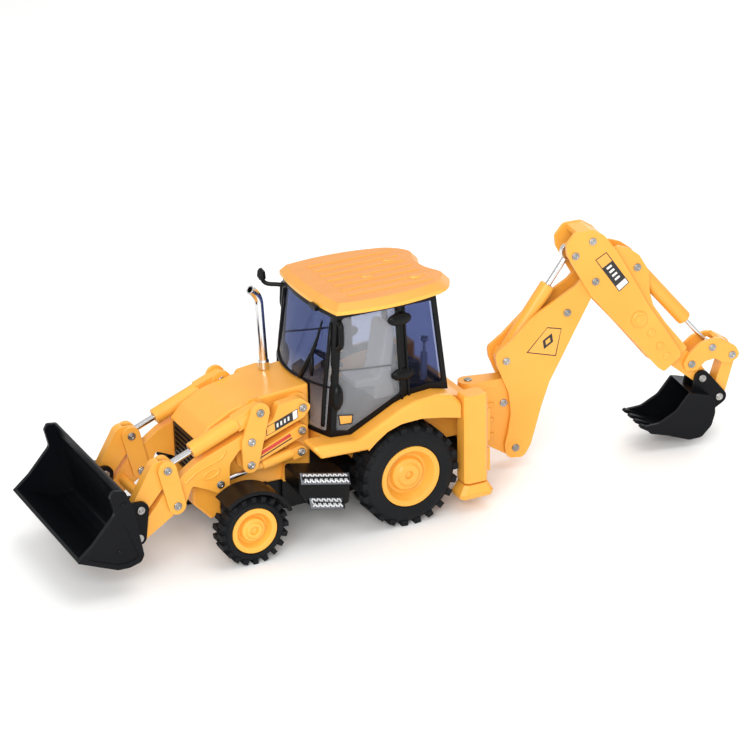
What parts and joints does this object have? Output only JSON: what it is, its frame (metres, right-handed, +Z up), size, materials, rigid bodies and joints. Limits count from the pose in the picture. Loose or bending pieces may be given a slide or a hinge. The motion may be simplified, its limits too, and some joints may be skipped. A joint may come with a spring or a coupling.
{
  "type": "toy backhoe loader",
  "caption": "Die-cast toy backhoe loader with a lifting front bucket on a levelling linkage, a slewing backhoe arm, rolling wheels and drop-down stabilisers.",
  "frame": {"origin": "on the ground, midway between the rear wheels", "axes": "+X forward along the machine, +Y to its left, +Z up"},
  "size_m": [0.2756, 0.0654, 0.0923],
  "materials": {
    "yellow": "satin",
    "yellow_wheel": "satin",
    "black_metal": "satin",
    "black_plastic": "matt",
    "grey_plastic": "matt",
    "steel": "domed rivets",
    "chrome": "polished",
    "tyre": "matt",
    "tinted_glass": "clear"
  },
  "bodies": {
    "chassis": {"chassis_base": "black_plastic", "base_screws": "steel", "hood": "yellow", "front_grille": "black_plastic", "rear_body": "yellow", "cab_glass": "tinted_glass", "cab_frame": "black_plastic", "roof": "yellow", "cab_interior": "black_plastic", "seat": "grey_plastic", "exhaust_stack": "chrome", "side_tanks": "black_plastic", "front_mudguards": "black_plastic", "loader_towers": "yellow", "tower_rivets": "steel", "rear_frame": "yellow"},
    "front_wheels": {"front_axle": "steel", "front_rims": "yellow_wheel", "front_left_tyre": "tyre", "front_right_tyre": "tyre"},
    "rear_wheels": {"rear_axle": "steel", "rear_rims": "yellow_wheel", "rear_left_tyre": "tyre", "rear_right_tyre": "tyre"},
    "loader_arm": {"loader_arms": "yellow", "cross_tube": "yellow", "arm_rivets": "steel"},
    "lever": {"levers": "yellow", "lever_rivets": "steel"},
    "levelling_link": {"levelling_links": "yellow"},
    "lift_cylinder": {"lift_cylinders": "yellow"},
    "lift_rod": {"lift_rods": "chrome"},
    "crowd_cylinder": {"crowd_cylinders": "yellow"},
    "crowd_sleeve": {"crowd_sleeves": "chrome"},
    "crowd_rod": {"crowd_rods": "chrome"},
    "bell_crank": {"bell_cranks": "yellow", "crank_rivets": "steel"},
    "bucket_link": {"bucket_links": "yellow"},
    "front_bucket": {"loader_bucket": "black_metal", "bucket_rivets": "steel"},
    "carriage": {"sideshift_carriage": "yellow"},
    "king_post": {"kingpost": "yellow", "kingpost_rivets": "steel"},
    "boom": {"hoe_boom": "yellow", "boom_rivets": "steel"},
    "boom_cylinder": {"boom_ram_cylinder": "yellow"},
    "boom_rod": {"boom_ram_rod": "chrome"},
    "dipper": {"hoe_dipper": "yellow", "dipper_rivets": "steel"},
    "dipper_cylinder": {"dipper_ram_cylinder": "yellow"},
    "dipper_rod": {"dipper_ram_rod": "chrome"},
    "tipping": {"tipping_link": "yellow", "tipping_rivets": "steel"},
    "hoe_link": {"hoe_bucket_link": "yellow"},
    "bucket_cylinder": {"bucket_ram_cylinder": "yellow"},
    "bucket_rod": {"bucket_ram_rod": "chrome"},
    "rear_bucket": {"hoe_bucket": "black_metal", "hoe_bucket_rivet": "steel"},
    "left_stabiliser": {"stabiliser_left": "yellow"},
    "right_stabiliser": {"stabiliser_right": "yellow"}
  },
  "joints": [
    {"name": "front_axle_spin", "type": "hinge", "parent": "chassis", "child": "front_wheels", "pos_m": [0.062, 0, 0.0129], "axis": [0, 1, 0], "continuous": true},
    {"name": "rear_axle_spin", "type": "hinge", "parent": "chassis", "child": "rear_wheels", "pos_m": [0, 0, 0.0192], "axis": [0, 1, 0], "continuous": true},
    {"name": "arm_lift", "type": "hinge", "parent": "chassis", "child": "loader_arm", "pos_m": [0.0364, 0, 0.0495], "axis": [0, -1, 0], "range_deg": [-6.5, 35]},
    {"name": "levelling_link_turn", "type": "hinge", "parent": "chassis", "child": "levelling_link", "pos_m": [0.0369, 0, 0.0408], "axis": [0, -1, 0], "range_deg": [-7, 35.5]},
    {"name": "lever_turn", "type": "hinge", "parent": "loader_arm", "child": "lever", "pos_m": [0.057, 0, 0.0413], "axis": [0, -1, 0], "range_deg": [-35.5, 7]},
    {"name": "lift_cylinder_turn", "type": "hinge", "parent": "chassis", "child": "lift_cylinder", "pos_m": [0.0374, 0, 0.0327], "axis": [0, -1, 0], "range_deg": [-6.87, 34.8]},
    {"name": "lift_rod_slide", "type": "slide", "parent": "lift_cylinder", "child": "lift_rod", "axis": [0.9845, 0, -0.1756], "range_m": [-0.00215, 0.01026]},
    {"name": "crowd_cylinder_turn", "type": "hinge", "parent": "lever", "child": "crowd_cylinder", "pos_m": [0.0533, 0, 0.0516], "axis": [0, -1, 0], "range_deg": [-6.09, 30.6]},
    {"name": "crowd_sleeve_slide", "type": "slide", "parent": "crowd_cylinder", "child": "crowd_sleeve", "axis": [0.9297, 0, -0.3682], "range_m": [-0.00616, 0.00139]},
    {"name": "bucket_tilt", "type": "hinge", "parent": "loader_arm", "child": "front_bucket", "pos_m": [0.1005, 0, 0.0145], "axis": [0, -1, 0], "range_deg": [-50, 8]},
    {"name": "bell_crank_turn", "type": "hinge", "parent": "loader_arm", "child": "bell_crank", "pos_m": [0.0858, 0, 0.0234], "axis": [0, -1, 0], "range_deg": [-32.5, 5.62]},
    {"name": "bucket_link_turn", "type": "hinge", "parent": "bell_crank", "child": "bucket_link", "pos_m": [0.0889, 0, 0.0375], "axis": [0, -1, 0], "range_deg": [-6.42, 37.5]},
    {"name": "crowd_rod_slide", "type": "slide", "parent": "crowd_sleeve", "child": "crowd_rod", "axis": [0.9297, 0, -0.3682], "range_m": [-0.0016, 0.00842]},
    {"name": "side_shift", "type": "slide", "parent": "chassis", "child": "carriage", "axis": [0, 1, 0], "range_m": [-0.014, 0.014]},
    {"name": "slew", "type": "hinge", "parent": "carriage", "child": "king_post", "pos_m": [-0.04, 0, 0.022], "axis": [0, 0, 1], "range_deg": [-76, 94]},
    {"name": "boom_lift", "type": "hinge", "parent": "king_post", "child": "boom", "pos_m": [-0.05699, 0.00269, 0.0088], "axis": [0.1564, 0.9877, 0], "range_deg": [-45, 1]},
    {"name": "boom_cylinder_turn", "type": "hinge", "parent": "king_post", "child": "boom_cylinder", "pos_m": [-0.05274, 0.00202, 0.0272], "axis": [0.1564, 0.9877, 0], "range_deg": [-51.35, 1.63]},
    {"name": "boom_rod_slide", "type": "slide", "parent": "boom_cylinder", "child": "boom_rod", "axis": [-0.5853, 0.0927, 0.8055], "range_m": [-0.0006, 0.01381]},
    {"name": "dipper_turn", "type": "hinge", "parent": "boom", "child": "dipper", "pos_m": [-0.08731, 0.00749, 0.0719], "axis": [0.1564, 0.9877, 0], "range_deg": [-10, 45]},
    {"name": "dipper_cylinder_turn", "type": "hinge", "parent": "boom", "child": "dipper_cylinder", "pos_m": [-0.05323, 0.0021, 0.0445], "axis": [0.1564, 0.9877, 0], "range_deg": [-0.7, 1.4]},
    {"name": "dipper_rod_slide", "type": "slide", "parent": "dipper_cylinder", "child": "dipper_rod", "axis": [-0.5596, 0.0886, 0.824], "range_m": [-0.01075, 0.00262]},
    {"name": "hoe_bucket_turn", "type": "hinge", "parent": "dipper", "child": "rear_bucket", "pos_m": [-0.13225, 0.01461, 0.0257], "axis": [0.1564, 0.9877, 0], "range_deg": [-12, 48]},
    {"name": "tipping_link_turn", "type": "hinge", "parent": "dipper", "child": "tipping", "pos_m": [-0.12761, 0.01388, 0.0322], "axis": [0.1564, 0.9877, 0], "range_deg": [-8.42, 32.18]},
    {"name": "hoe_link_turn", "type": "hinge", "parent": "tipping", "child": "hoe_link", "pos_m": [-0.1442, 0.0165, 0.0337], "axis": [0.1564, 0.9877, 0], "range_deg": [-7.7, 2.3]},
    {"name": "bucket_cylinder_turn", "type": "hinge", "parent": "dipper", "child": "bucket_cylinder", "pos_m": [-0.1045, 0.01022, 0.0746], "axis": [0.1564, 0.9877, 0], "range_deg": [-1.46, 0.74]},
    {"name": "bucket_rod_slide", "type": "slide", "parent": "bucket_cylinder", "child": "bucket_rod", "axis": [-0.6468, 0.1024, -0.7558], "range_m": [-0.00566, 0.00164]},
    {"name": "stabiliser_left_drop", "type": "slide", "parent": "chassis", "child": "left_stabiliser", "axis": [0, 0, -1], "range_m": [0, 0.0052]},
    {"name": "stabiliser_right_drop", "type": "slide", "parent": "chassis", "child": "right_stabiliser", "axis": [0, 0, -1], "range_m": [0, 0.0052]}
  ],
  "couplings": [
    {"joint": "levelling_link_turn", "follows": "arm_lift", "ratio": 1},
    {"joint": "lever_turn", "follows": "arm_lift", "ratio": -1},
    {"joint": "lift_cylinder_turn", "follows": "arm_lift", "ratio": 0.98},
    {"joint": "lift_rod_slide", "follows": "arm_lift", "m_per_rad": 0.0163},
    {"joint": "crowd_cylinder_turn", "follows": "arm_lift", "ratio": 0.86},
    {"joint": "crowd_sleeve_slide", "follows": "arm_lift", "m_per_rad": -0.0096},
    {"joint": "bell_crank_turn", "follows": "bucket_tilt", "ratio": 0.64},
    {"joint": "bucket_link_turn", "follows": "bucket_tilt", "ratio": -0.74},
    {"joint": "crowd_rod_slide", "follows": "bucket_tilt", "m_per_rad": -0.0093},
    {"joint": "boom_cylinder_turn", "follows": "boom_lift", "ratio": 1.13},
    {"joint": "boom_rod_slide", "follows": "boom_lift", "m_per_rad": -0.0172},
    {"joint": "dipper_cylinder_turn", "follows": "dipper_turn", "ratio": 0.02},
    {"joint": "dipper_rod_slide", "follows": "dipper_turn", "m_per_rad": -0.0133},
    {"joint": "tipping_link_turn", "follows": "hoe_bucket_turn", "ratio": 0.66},
    {"joint": "hoe_link_turn", "follows": "hoe_bucket_turn", "ratio": -0.15},
    {"joint": "bucket_cylinder_turn", "follows": "hoe_bucket_turn", "ratio": -0.02},
    {"joint": "bucket_rod_slide", "follows": "hoe_bucket_turn", "m_per_rad": -0.0064}
  ]
}
